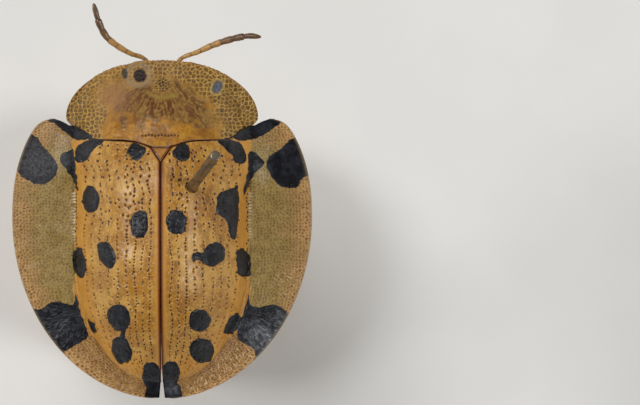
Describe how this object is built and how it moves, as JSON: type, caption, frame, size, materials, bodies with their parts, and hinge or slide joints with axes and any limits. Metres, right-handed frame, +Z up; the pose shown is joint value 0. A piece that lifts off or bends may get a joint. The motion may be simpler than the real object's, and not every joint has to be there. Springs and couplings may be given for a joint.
{
  "type": "pinned tortoise beetle",
  "caption": "Life-size pinned tortoise beetle with a spotted domed shell, a broad flat rim and folded legs, on a slanting pin in a small round wooden base.",
  "frame": {"origin": "on the underside of the round base, below the middle of the beetle's body", "axes": "+Z up, away from the surface the base stands on; +Y the way the head points; +X the beetle's right"},
  "size_m": [0.0114, 0.0153, 0.0233],
  "materials": {
    "shell": "hard amber and black shell with a satin shine",
    "underside": "glossy amber body plates with a black breast",
    "limb": "satin brown legs and feelers",
    "eye": "dull black compound eyes",
    "pin_metal": "aged grey steel wire",
    "base_wood": "pale turned wood, waxed"
  },
  "bodies": {
    "root": {"elytron_left": "shell", "elytron_right": "shell", "pronotum": "shell", "scutellum": "shell", "prothorax": "underside", "thorax": "underside", "sternite_1": "underside", "sternite_2": "underside", "sternite_3": "underside", "sternite_4": "underside", "sternite_5": "underside", "head": "underside", "mouthparts": "underside", "leg_front_left": "limb", "leg_front_right": "limb", "leg_mid_left": "limb", "leg_mid_right": "limb", "leg_hind_left": "limb", "leg_hind_right": "limb", "antenna_left": "limb", "antenna_right": "limb", "eye_left": "eye", "eye_right": "eye", "pin": "pin_metal", "stand_base": "base_wood"}
  },
  "joints": []
}
